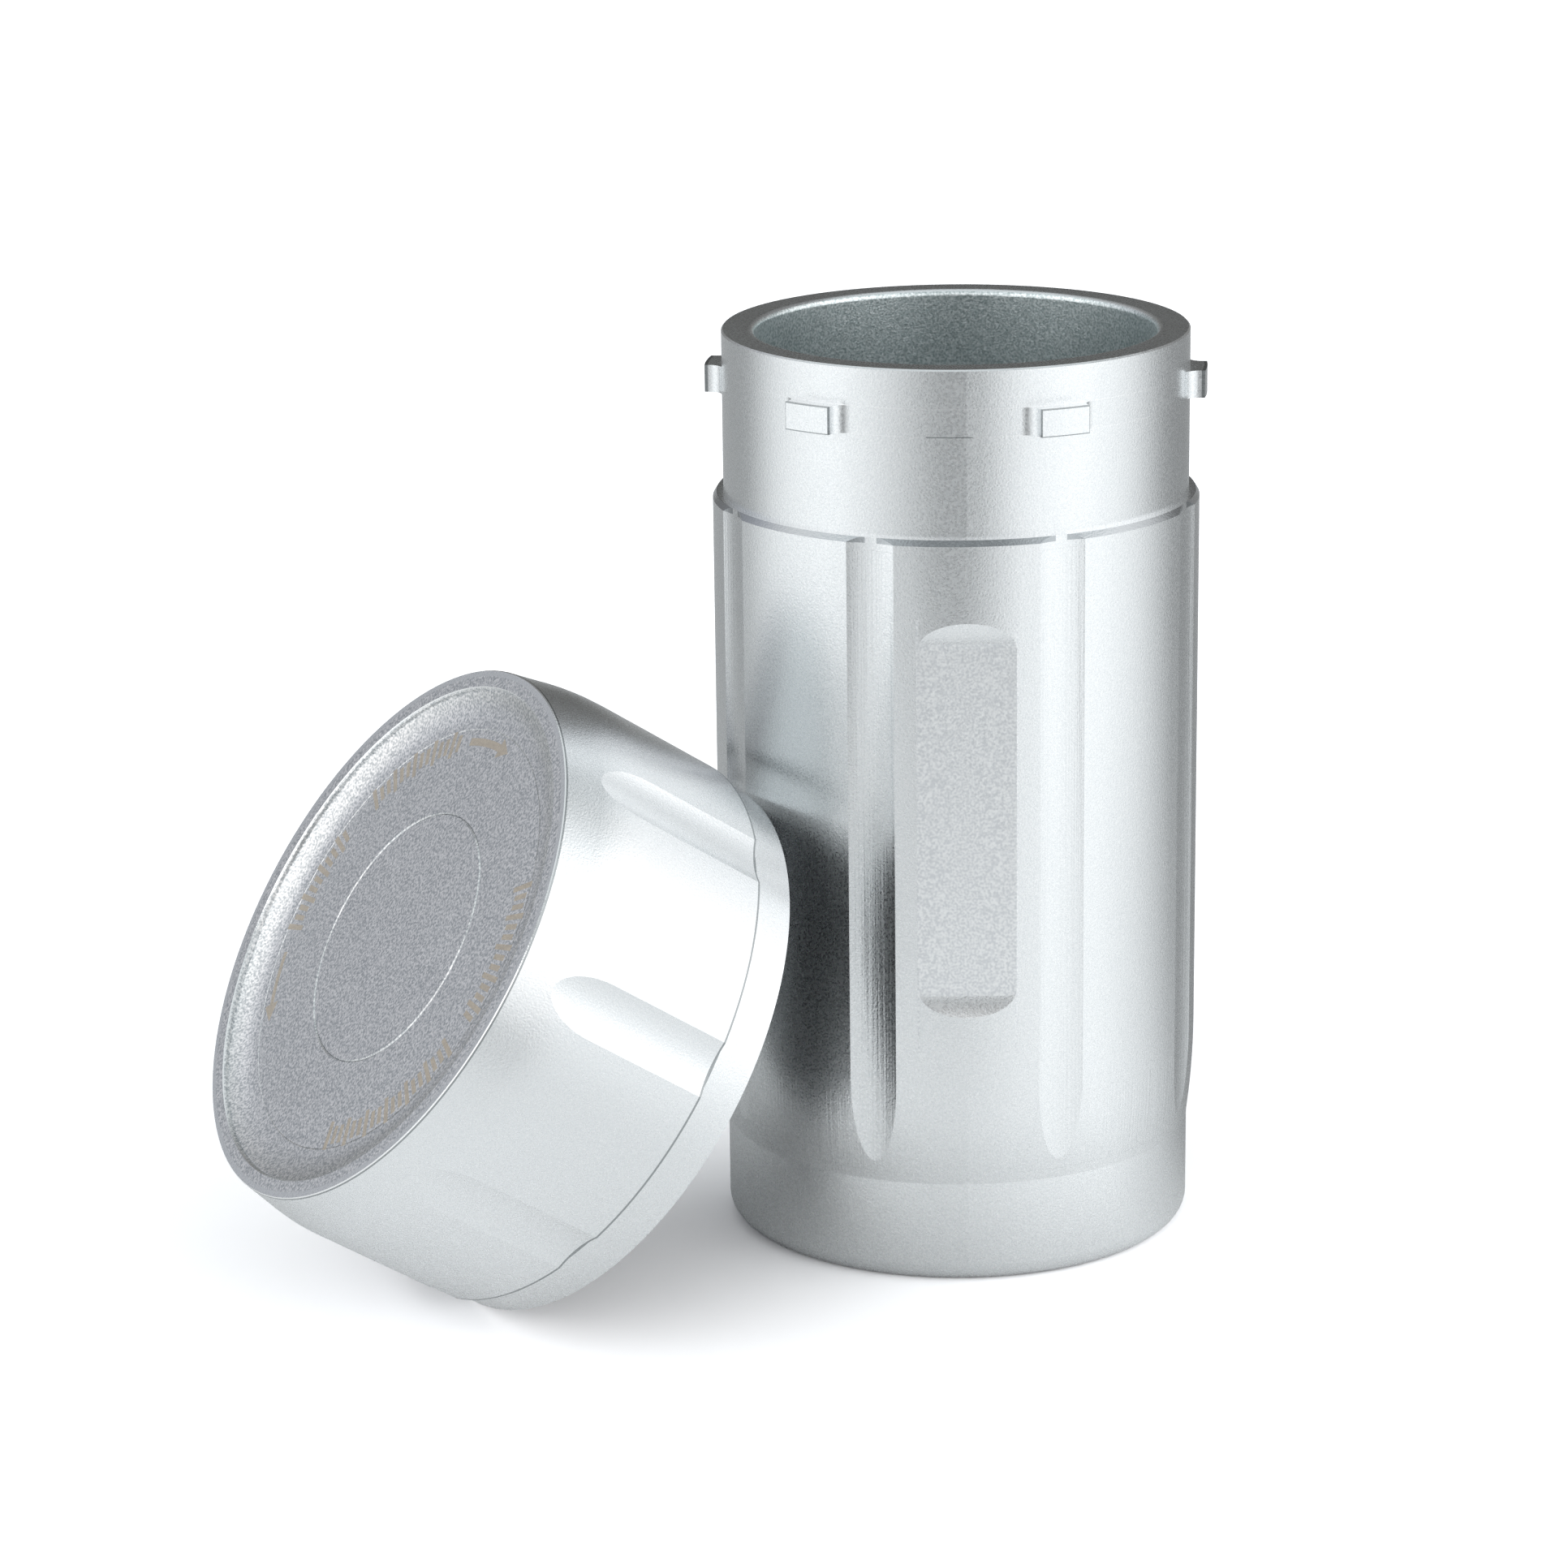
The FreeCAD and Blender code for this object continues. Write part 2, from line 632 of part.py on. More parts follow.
nodes = [jar] + cap_pieces
os.makedirs("parts", exist_ok=True)
for node in nodes:
    shape = node.Shape
    if shape.isNull() or not shape.isValid() or not shape.Solids:
        raise RuntimeError(f"{node.Label} has no valid solid")
for node in nodes:
    node.Shape.exportStep(f"parts/{node.Label}.step")
    print(f"{node.Label:16s} {len(node.Shape.Solids)} solid(s), {node.Shape.Volume:10.1f} mm3")
print("rim centre", [round(value, 3) for value in rim_centre])
print("cap axis", [round(value, 5) for value in cap_axis])
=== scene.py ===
import math

import bmesh
import bpy
from mathutils import Euler, Matrix, Vector


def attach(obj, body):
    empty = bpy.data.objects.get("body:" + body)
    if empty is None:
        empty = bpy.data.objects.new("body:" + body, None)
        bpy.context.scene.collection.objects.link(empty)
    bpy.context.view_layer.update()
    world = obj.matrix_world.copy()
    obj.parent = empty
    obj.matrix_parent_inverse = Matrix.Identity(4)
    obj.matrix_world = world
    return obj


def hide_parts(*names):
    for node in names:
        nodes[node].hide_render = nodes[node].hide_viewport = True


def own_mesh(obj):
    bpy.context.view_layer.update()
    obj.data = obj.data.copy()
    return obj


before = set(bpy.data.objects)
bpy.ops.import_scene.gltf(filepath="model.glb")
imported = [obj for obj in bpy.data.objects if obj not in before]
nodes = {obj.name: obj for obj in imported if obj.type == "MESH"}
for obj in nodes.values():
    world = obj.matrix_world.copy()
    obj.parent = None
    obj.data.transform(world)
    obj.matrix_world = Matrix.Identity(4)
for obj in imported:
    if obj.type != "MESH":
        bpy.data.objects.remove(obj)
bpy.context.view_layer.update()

# A locking storage jar of satin anodised aluminium, with its push-and-turn cap off and leaning on it.
# Everything is in metres, in the frame's own axes: the jar stands on the origin and faces -Y.

millimetre = 0.001


def toLinear(hexColour):
    # sRGB hex, as a colour picker shows it, to the linear RGBA that the shaders want
    channels = [int(hexColour[place:place + 2], 16) / 255 for place in (1, 3, 5)]
    linear = [c / 12.92 if c <= 0.04045 else ((c + 0.055) / 1.055) ** 2.4 for c in channels]
    return (*linear, 1.0)


def addNode(tree, kind, settings=None, **inputs):
    # one node: settings are its own properties, inputs are sockets by name or by number as in0, in1
    node = tree.nodes.new(kind)
    for name, value in (settings or {}).items():
        setattr(node, name, value)
    for name, value in inputs.items():
        plain = name.replace("_", " ")
        socket = node.inputs[int(name[2:])] if name[:2] == "in" and name[2:].isdigit() else node.inputs[plain]
        if isinstance(value, bpy.types.NodeSocket):
            tree.links.new(value, socket)
        else:
            socket.default_value = value
    return node


noiseRange = {"From_Min": 0.3, "From_Max": 0.7}    # where nearly all of a noise's values lie


def betweenTones(tree, pattern, dark, light):
    # from a dark tone to a light one, as a noise goes through its usual range
    amount = addNode(tree, "ShaderNodeMapRange", None, Value=pattern, **noiseRange).outputs[0]
    return addNode(tree, "ShaderNodeMix", {"data_type": "RGBA"},
                   in0=amount, in6=toLinear(dark), in7=toLinear(light)).outputs[2]


def whereAll(tree, *masks):
    # 1 where all the masks are 1, and 0 elsewhere
    joined = masks[0]
    for mask in masks[1:]:
        joined = addNode(tree, "ShaderNodeMath", {"operation": "MULTIPLY"}, in0=joined, in1=mask).outputs[0]
    return joined


def whereAny(tree, *masks):
    joined = masks[0]
    for mask in masks[1:]:
        joined = addNode(tree, "ShaderNodeMath", {"operation": "MAXIMUM"}, in0=joined, in1=mask).outputs[0]
    return joined


def within(tree, value, lowest=None, highest=None):
    # 1 where a value lies inside its limits, either of which may be left open
    masks = [addNode(tree, "ShaderNodeMath", {"operation": operation}, in0=value, in1=limit).outputs[0]
             for operation, limit in (("GREATER_THAN", lowest), ("LESS_THAN", highest)) if limit is not None]
    return whereAll(tree, *masks)


def paintOver(tree, tone, mask, strength, mark):
    # the tone, with a mark laid over it where the mask is 1
    return addNode(tree, "ShaderNodeMix", {"data_type": "RGBA"},
                   in0=whereAll(tree, mask, strength), in6=tone, in7=mark).outputs[2]


def angleRound(tree, parts):
    # angle round the jar's axis in radians, from -Y towards +X
    backwards = addNode(tree, "ShaderNodeMath", {"operation": "MULTIPLY"}, in0=parts.outputs[1], in1=-1.0)
    return addNode(tree, "ShaderNodeMath", {"operation": "ARCTAN2"},
                   in0=parts.outputs[0], in1=backwards.outputs[0]).outputs[0]


# camera

viewpoint = {
    "distance": 0.59547,    # in front of the jar's axis
    "height": 0.22436,
    "turnDeg": 2.084,
    "tiltDeg": 15.822,
    "rollDeg": -0.704,
    "lensMm": 113.12,
    "sensorMm": 36.0,
    "clip": (0.01, 20),
}


def makeCamera():
    data = bpy.data.cameras.new("camera")
    data.lens = viewpoint["lensMm"]
    data.sensor_width = viewpoint["sensorMm"]
    data.clip_start, data.clip_end = viewpoint["clip"]
    camera = bpy.data.objects.new("camera", data)
    bpy.context.scene.collection.objects.link(camera)
    aim = Euler((math.radians(90 - viewpoint["tiltDeg"]), 0, math.radians(viewpoint["turnDeg"])))
    roll = Matrix.Rotation(math.radians(viewpoint["rollDeg"]), 4, "Z")
    place = Matrix.Translation((0, -viewpoint["distance"], viewpoint["height"]))
    camera.matrix_world = place @ aim.to_matrix().to_4x4() @ roll
    bpy.context.scene.camera = camera


# studio

studio = {
    "floorSide": 8.0,
    "floorDrop": 0.00005,
    "floorSeen": 1.65,
    "floorTone": "#fdfcfd",
    # how bright each side is, in degrees from the front towards +X: a wide soft box on the left and one on
    # the right, both down to the sweep, with a dimmer gap in front and the dark room behind
    "lightLow": [(-180, 0.18), (-150, 0.25), (-120, 0.5), (-90, 1.0), (-60, 1.15), (-25, 0.9), (0, 0.2),
                 (25, 1.0), (60, 1.45), (90, 1.35), (120, 1.1), (150, 0.4), (180, 0.18)],
    "lightMiddle": [(-180, 0.05), (-150, 0.26), (-120, 0.52), (-90, 1.2), (-60, 1.45), (-25, 1.0), (0, 0.3),
                    (25, 1.15), (60, 1.65), (90, 1.6), (112, 1.1), (130, 0.2), (150, 0.22), (180, 0.05)],
    "lightHigh": [(-180, 0.15), (-150, 0.3), (-120, 0.7), (-90, 1.35), (-60, 1.65), (0, 1.4), (60, 1.7),
                  (90, 1.65), (112, 1.1), (130, 0.22), (150, 0.25), (180, 0.15)],
    "lightUpper": [(-180, 0.2), (-120, 0.6), (-60, 1.2), (-32, 0.7), (-20, 0.25), (25, 0.25), (45, 0.8),
                   (60, 1.1), (100, 0.6), (130, 0.25), (150, 0.25), (180, 0.2)],
    "lightTop": 0.8,
    "lightHeights": (0, 15, 35, 48, 62),
    # the floor's colour as reflections see it, under, near and far from the jar: painted light and shade
    # round the jar
    "sweepUnder": 0.65,
    "sweepNear": [(-180, 0.51), (-120, 0.68), (-90, 0.83), (-60, 1.05), (0, 1.04), (60, 1.43), (90, 1.05),
                  (120, 0.43), (150, 0.32), (180, 0.51)],
    "sweepFar": [(-180, 0.64), (-150, 0.48), (-120, 0.42), (-90, 1.3), (-60, 1.55), (-30, 0.96),
                 (-10, 0.44), (0, 0.33), (8, 0.44), (30, 1.31), (60, 1.6), (90, 1.22), (120, 0.35),
                 (150, 0.34), (180, 0.64)],
    "sweepReach": (0.07, 0.15, 0.36),
    "brightest": 2.0,    # what a ramp's white stands for, since its colours stop at 1
    "coolTop": "#f4fafc",
    "warmBack": "#fcfcf8",
    "warmReach": (0.8, 0.98),
    "lilacSide": "#f1f4fc",
    "lilacLeft": (-0.4, -0.8),
    "lilacBack": (0.1, 0.4),
    "plain": "#ffffff",
}


def roundTheJar(tree, angle, stops):
    # a brightness that changes with the direction round the jar, through a ramp from -180 to 180 degrees
    share = addNode(tree, "ShaderNodeMapRange", None, Value=angle, From_Min=-math.pi, From_Max=math.pi)
    ramp = addNode(tree, "ShaderNodeValToRGB", None, Fac=share.outputs[0])
    elements = ramp.color_ramp.elements
    while len(elements) < len(stops):
        elements.new(0.5)
    for element, (degrees, level) in zip(elements, stops):
        element.position = (degrees + 180) / 360
        element.color = (*[level / studio["brightest"]] * 3, 1)
    return addNode(tree, "ShaderNodeMath", {"operation": "MULTIPLY"},
                   in0=ramp.outputs[0], in1=studio["brightest"]).outputs[0]


def makeSky():
    # reflections see the soft boxes and the dark room; the camera itself sees a plain white wall
    world = bpy.data.worlds.new("studio")
    bpy.context.scene.world = world
    world.use_nodes = True
    tree = world.node_tree
    tree.nodes.clear()
    direction = addNode(tree, "ShaderNodeTexCoord").outputs["Generated"]
    parts = addNode(tree, "ShaderNodeSeparateXYZ", None, Vector=direction)
    angle = angleRound(tree, parts)
    elevation = addNode(tree, "ShaderNodeMath", {"operation": "ARCSINE"}, in0=parts.outputs[2]).outputs[0]

    bands = [roundTheJar(tree, angle, studio[band])
             for band in ("lightLow", "lightMiddle", "lightHigh", "lightUpper")]
    bands.append(studio["lightTop"])
    heights = [math.radians(degrees) for degrees in studio["lightHeights"]]
    level = bands[0]
    for start, end, band in zip(heights, heights[1:], bands[1:]):
        amount = addNode(tree, "ShaderNodeMapRange", None, Value=elevation, From_Min=start, From_Max=end)
        level = addNode(tree, "ShaderNodeMix", {"data_type": "FLOAT"},
                        in0=amount.outputs[0], in2=level, in3=band).outputs[0]
    # the white boxes are a little warm behind, lilac at the back left and cool overhead
    leftward, backward = parts.outputs[0], parts.outputs[1]
    tint = toLinear(studio["plain"])
    for tone, reaches in (("warmBack", [(backward, studio["warmReach"])]),
                          ("lilacSide", [(leftward, studio["lilacLeft"]), (backward, studio["lilacBack"])]),
                          ("coolTop", [(elevation, heights[2:4])])):
        fades = [addNode(tree, "ShaderNodeMapRange", None, Value=value, From_Min=start, From_Max=end)
                 for value, (start, end) in reaches]
        amount = whereAll(tree, *[fade.outputs[0] for fade in fades])
        tint = paintOver(tree, tint, amount, 1.0, toLinear(studio[tone]))
    light = addNode(tree, "ShaderNodeBackground", None, Color=tint, Strength=level)
    seen = addNode(tree, "ShaderNodeBackground", None, Color=(1, 1, 1, 1), Strength=1.0)
    path = addNode(tree, "ShaderNodeLightPath")
    mixed = addNode(tree, "ShaderNodeMixShader", None,
                    in0=path.outputs["Is Camera Ray"], in1=light.outputs[0], in2=seen.outputs[0])
    addNode(tree, "ShaderNodeOutputWorld", None, Surface=mixed.outputs[0])


def makeFloor():
    # a plain pale sweep to the camera; for reflections its colour is painted light and shade, brighter where
    # the soft boxes would light it and darker between and under them
    half = studio["floorSide"] / 2
    mesh = bpy.data.meshes.new("floor")
    corners = [(-half, -half, 0), (half, -half, 0), (half, half, 0), (-half, half, 0)]
    mesh.from_pydata(corners, [], [(0, 1, 2, 3)])
    floor = bpy.data.objects.new("floor", mesh)
    floor.location.z = -studio["floorDrop"]
    bpy.context.scene.collection.objects.link(floor)
    material, tree = newMaterial("whiteSweep")
    place = addNode(tree, "ShaderNodeTexCoord").outputs["Object"]
    parts = addNode(tree, "ShaderNodeSeparateXYZ", None, Vector=place)
    angle = angleRound(tree, parts)
    reach = addNode(tree, "ShaderNodeVectorMath", {"operation": "LENGTH"}, in0=place).outputs["Value"]
    near, farFrom, far = studio["sweepReach"]
    # painted light and shade in the floor's colour, for reflections only
    glow = studio["sweepUnder"]
    for start, end, stops in ((0, near, studio["sweepNear"]), (farFrom, far, studio["sweepFar"])):
        amount = addNode(tree, "ShaderNodeMapRange", None, Value=reach, From_Min=start, From_Max=end)
        glow = addNode(tree, "ShaderNodeMix", {"data_type": "FLOAT"},
                       in0=amount.outputs[0], in2=glow, in3=roundTheJar(tree, angle, stops)).outputs[0]
    path = addNode(tree, "ShaderNodeLightPath")
    white = [channel * studio["floorSeen"] for channel in toLinear(studio["floorTone"])]
    shade = paintOver(tree, glow, path.outputs["Is Camera Ray"], 1.0, white)
    diffuse = addNode(tree, "ShaderNodeBsdfDiffuse", None, Color=shade)
    addNode(tree, "ShaderNodeOutputMaterial", None, Surface=diffuse.outputs[0])
    mesh.materials.append(material)


# materials

def newMaterial(name):
    material = bpy.data.materials.new(name)
    material.use_nodes = True
    material.node_tree.nodes.clear()
    return material, material.node_tree


blasted = {
    "light": "#eef0f1",
    "dark": "#e3e6e8",
    "roughness": (0.243, 0.327),
    "cloudiness": 0.02,
    "grainMm": 0.24,    # the beads' pits are nearer 0.08: they are drawn coarser, so that they show
    "grainDepthMm": 0.023,
    "facetScale": 0.9,    # the sparkle's grain and the coarse pits, against the grain's own scale
    "pitScale": 0.8,
    "cloudMm": 9,
}


def blastedGrain(tree, place, look):
    # pits of the glass beads, and a faint cloudiness where the nozzle passed: tone, roughness and normal
    grain = addNode(tree, "ShaderNodeTexNoise", None, Vector=place, Scale=1 / (look["grainMm"] * millimetre),
                    Detail=1.0, Roughness=0.5).outputs["Fac"]
    cloud = addNode(tree, "ShaderNodeTexNoise", None, Vector=place, Scale=1 / (look["cloudMm"] * millimetre),
                    Detail=3.0, Roughness=0.5).outputs["Fac"]
    facets = addNode(tree, "ShaderNodeTexNoise", None, Vector=place,
                     Scale=look["facetScale"] / (look["grainMm"] * millimetre), Detail=0.0).outputs["Fac"]
    tone = betweenTones(tree, grain, look["dark"], look["light"])
    smoothest, roughest = look["roughness"]
    sheen = addNode(tree, "ShaderNodeMapRange", None, Value=facets, To_Min=smoothest, To_Max=roughest,
                    **noiseRange)
    haze = addNode(tree, "ShaderNodeMapRange", None, Value=cloud, To_Min=-look["cloudiness"] / 2,
                   To_Max=look["cloudiness"] / 2, **noiseRange)
    rough = addNode(tree, "ShaderNodeMath", {"operation": "ADD"}, in0=sheen.outputs[0], in1=haze.outputs[0])
    bump = addNode(tree, "ShaderNodeBump", None, Height=grain, Strength=1.0,
                   Distance=look["grainDepthMm"] * millimetre).outputs[0]
    return tone, rough.outputs[0], bump


def coarsePits(tree, place, look):
    # the larger pits of the rougher faces
    return addNode(tree, "ShaderNodeTexNoise", None, Vector=place,
                   Scale=look["pitScale"] / (look["grainMm"] * millimetre), Detail=0.0).outputs["Fac"]


def metalOutput(tree, tone, rough, bump):
    metal = addNode(tree, "ShaderNodeBsdfPrincipled", None, Base_Color=tone, Metallic=1.0, Roughness=rough,
                    Normal=bump)
    addNode(tree, "ShaderNodeOutputMaterial", None, Surface=metal.outputs[0])


jarMarks = {
    "neckMm": 28.7,
    "skinMm": 0.1,    # how near to a surface a mark on it is taken to lie
    "lugLowMm": 105.75,
    "lugTopMm": 109.1,
    "lugAngleDeg": 25.0,
    "lugCount": 6,
    "lugHalfDeg": 5.78,
    "lugEdgeRad": 0.002,
    "lugStandsMm": 1.7,
    "lugStrength": 0.8,
    "lineMm": 0.13,
    "shadeLineTone": "#7f8486",
    "toolLine": "#f6f7f8",
    "toolStrength": 0.5,
    "bevelMm": (92.9, 93.62, 29.5),
    "bevelShadeTone": "#b4b8bb",
    "bevelRoughness": 0.16,
    "panelMm": 29.41,
    "panelSkinMm": 0.03,
    "panelFacing": (0.04362, -0.99905, 0.0),
    "panelRoughness": 0.14,
    "panelTints": ("#dde0e3", "#f5f7f8"),
    "panelReachMm": (30.0, 84.0),
    "boreMm": 24.9,
    "boreTints": ("#c4cfd0", "#f8feff"),
    "boreRoughness": 0.06,
    "fluteMm": (29.3, 29.97, 92.0),
    "streakMm": 0.3,    # the cutter's streaks are nearer 0.1 wide: they are drawn coarser, so that they show
    "streakLengthMm": 30.0,
    "streakDepthMm": 0.035,
    "scratchDeg": (-1.5, 5.5),
    "scratchTone": "#7b8284",
    "scratchStrength": 0.75,
}


def makeJarAluminium(name, look, marks):
    # bead-blasted, clear-anodised aluminium: a fine sparkle of pits under a soft, wide shine. It has the
    # jar's own marks, the cutter's fine lines round the neck and the rougher panel and bore; the lugs' sharp
    # edges get painted shade lines, and the shoulder's bevel, turned after blasting, is smoother and painted
    # darker as painted shade
    material, tree = newMaterial(name)
    place = addNode(tree, "ShaderNodeTexCoord").outputs["Object"]
    tone, rough, bump = blastedGrain(tree, place, look)
    parts = addNode(tree, "ShaderNodeSeparateXYZ", None, Vector=place)
    flat = addNode(tree, "ShaderNodeCombineXYZ", None, X=parts.outputs[0], Y=parts.outputs[1])
    radius = addNode(tree, "ShaderNodeVectorMath", {"operation": "LENGTH"},
                     in0=flat.outputs[0]).outputs["Value"]
    height = parts.outputs[2]
    angle = angleRound(tree, parts)

    def closeTo(value, goal, width):
        # 1 within that width of the goal, and 0 outside it
        return within(tree, value, goal - width, goal + width)

    # fine lines that the cutter left round the neck, level with the lugs, and one short dark one
    line, neck = marks["lineMm"] * millimetre, marks["neckMm"] * millimetre
    lugEnds = [marks["lugLowMm"] * millimetre, marks["lugTopMm"] * millimetre]
    onNeck = closeTo(radius, neck, marks["skinMm"] * millimetre)
    level = whereAny(tree, *[closeTo(height, end, line / 3) for end in lugEnds])
    tone = paintOver(tree, tone, whereAll(tree, onNeck, level), marks["toolStrength"],
                     toLinear(marks["toolLine"]))
    middle, half = [math.radians(degrees) for degrees in marks["scratchDeg"]]
    scratch = whereAll(tree, onNeck, closeTo(height, lugEnds[0], line / 2), closeTo(angle, middle, half))
    tone = paintOver(tree, tone, scratch, marks["scratchStrength"], toLinear(marks["scratchTone"]))

    # painted shade: dark lines along the sharp edges round each lug's outer face
    step, lugHalf = 2 * math.pi / marks["lugCount"], math.radians(marks["lugHalfDeg"])
    firstLug = math.radians(marks["lugAngleDeg"]) - step * 4    # whole lugs back, so past is never negative
    past = addNode(tree, "ShaderNodeMath", {"operation": "SUBTRACT"}, in0=angle, in1=firstLug).outputs[0]
    fromLug = addNode(tree, "ShaderNodeMath", {"operation": "PINGPONG"}, in0=past, in1=step / 2).outputs[0]
    edges = [closeTo(fromLug, lugHalf, line / 2 / neck), *[closeTo(height, end, line) for end in lugEnds]]
    lugFace = whereAll(tree, within(tree, fromLug, highest=lugHalf + marks["lugEdgeRad"]),
                       within(tree, radius, neck + marks["lugStandsMm"] * millimetre),
                       within(tree, height, lugEnds[0] - line))
    tone = paintOver(tree, tone, whereAll(tree, lugFace, whereAny(tree, *edges)), marks["lugStrength"],
                     toLinear(marks["shadeLineTone"]))

    # the panel and the bore are rougher, with coarser pits
    outwards = addNode(tree, "ShaderNodeVectorMath", {"operation": "DOT_PRODUCT"}, in0=place,
                       in1=marks["panelFacing"]).outputs["Value"]
    lowest, highest = [size * millimetre for size in marks["panelReachMm"]]
    panelSkin = marks["panelSkinMm"] * millimetre
    panel = whereAll(tree, closeTo(outwards, marks["panelMm"] * millimetre, panelSkin),
                     within(tree, height, lowest, highest))
    bore = within(tree, radius, highest=marks["boreMm"] * millimetre)
    pits = coarsePits(tree, place, look)
    for part, extra, tints in ((bore, "boreRoughness", "boreTints"), (panel, "panelRoughness", "panelTints")):
        rough = addNode(tree, "ShaderNodeMath", {"operation": "MULTIPLY_ADD"},
                        in0=part, in1=marks[extra], in2=rough).outputs[0]
        tone = paintOver(tree, tone, part, 1.0, betweenTones(tree, pits, *marks[tints]))

    # long fine streaks that the round cutter left along the flutes
    inner, outer, top = [size * millimetre for size in marks["fluteMm"]]
    fluted = whereAll(tree, within(tree, radius, inner, outer), within(tree, height, highest=top),
                      within(tree, outwards, highest=neck))
    across = addNode(tree, "ShaderNodeMath", {"operation": "MULTIPLY"}, in0=angle, in1=neck).outputs[0]
    drawnOut = addNode(tree, "ShaderNodeMath", {"operation": "MULTIPLY"}, in0=height,
                       in1=marks["streakMm"] / marks["streakLengthMm"]).outputs[0]
    along = addNode(tree, "ShaderNodeCombineXYZ", None, X=across, Z=drawnOut)
    streaks = addNode(tree, "ShaderNodeTexNoise", None, Vector=along.outputs[0],
                      Scale=1 / (marks["streakMm"] * millimetre), Detail=1.0).outputs["Fac"]
    bump = addNode(tree, "ShaderNodeBump", None, Height=whereAll(tree, streaks, fluted), Strength=1.0,
                   Distance=marks["streakDepthMm"] * millimetre, Normal=bump).outputs[0]

    # painted shade: the shoulder's bevel is drawn darker, and smoother
    lowest, highest, inside = [size * millimetre for size in marks["bevelMm"]]
    bevel = whereAll(tree, within(tree, height, lowest, highest), within(tree, radius, inside))
    tone = paintOver(tree, tone, bevel, 1.0, toLinear(marks["bevelShadeTone"]))
    rough = addNode(tree, "ShaderNodeMix", {"data_type": "FLOAT"},
                    in0=bevel, in2=rough, in3=marks["bevelRoughness"]).outputs[0]
    metalOutput(tree, tone, rough, bump)
    return material


turned = {
    "light": "#e3e5e6",
    "dark": "#d2d5d7",
    "roughness": 0.28,
    "haze": 0.04,
    "grooveMm": 0.35,    # a lathe's feed is nearer 0.1: the rings are drawn coarser, so that they show
    "grooveDepthMm": 0.006,
}
plateFinish = {**turned, "light": "#6c7073", "dark": "#5a5e61", "roughness": 0.38}    # hard-anodised: dark
steelFinish = {**turned, "light": "#c2c4c6", "dark": "#aeb0b3", "roughness": 0.24, "grooveMm": 0.5}


def makeTurnedMetal(name, look):
    # bright turned metal inside the cap: the lathe's fine rings round the cap's axis, under a light haze
    material, tree = newMaterial(name)
    place = addNode(tree, "ShaderNodeTexCoord").outputs["Object"]
    across, along = fromCapAxis(tree, place)
    rings = addNode(tree, "ShaderNodeCombineXYZ", None, X=across, Y=along)
    grooves = addNode(tree, "ShaderNodeTexNoise", None, Vector=rings.outputs[0],
                      Scale=1 / (look["grooveMm"] * millimetre), Detail=2.0, Roughness=0.6).outputs["Fac"]
    tone = betweenTones(tree, grooves, look["dark"], look["light"])
    rough = addNode(tree, "ShaderNodeMapRange", None, Value=grooves, To_Min=look["roughness"] - look["haze"],
                    To_Max=look["roughness"] + look["haze"], **noiseRange).outputs[0]
    bump = addNode(tree, "ShaderNodeBump", None, Height=grooves, Strength=1.0,
                   Distance=look["grooveDepthMm"] * millimetre).outputs[0]
    metalOutput(tree, tone, rough, bump)
    return material


capFinish = {"light": "#eceeef", "dark": "#e5e8ea", "roughness": (0.26, 0.31)}
capMarks = {
    "bandMm": 5.38,
    "bandRadiusMm": 33.0,
    "bandLineMm": 0.26,
    "shadeLineTone": "#8d9294",
    "lineStrength": 0.85,
    "topMm": 31.6,
    "topRadiusMm": 33.6,
    "topLight": "#ffffff",
    "topDark": "#c2c6c9",
    "edgeMm": 33.47,
    "edgeLineMm": 0.22,
    "bevelHighMm": 0.115,
    "bevelHighlightTone": "#fbfcfd",
    "edgeRoughness": 0.16,
}


def fromCapAxis(tree, place):
    # distance from the cap's axis, and height over its rim
    away = addNode(tree, "ShaderNodeVectorMath", {"operation": "SUBTRACT"}, in0=place, in1=capFrame["centre"])
    along = addNode(tree, "ShaderNodeVectorMath", {"operation": "DOT_PRODUCT"},
                    in0=away.outputs[0], in1=capFrame["axis"]).outputs["Value"]
    distance = addNode(tree, "ShaderNodeVectorMath", {"operation": "LENGTH"},
                       in0=away.outputs[0]).outputs["Value"]
    squares = [addNode(tree, "ShaderNodeMath", {"operation": "MULTIPLY"}, in0=side, in1=side).outputs[0]
               for side in (distance, along)]
    rest = addNode(tree, "ShaderNodeMath", {"operation": "SUBTRACT"}, in0=squares[0], in1=squares[1])
    across = addNode(tree, "ShaderNodeMath", {"operation": "SQRT"}, in0=rest.outputs[0]).outputs[0]
    return across, along


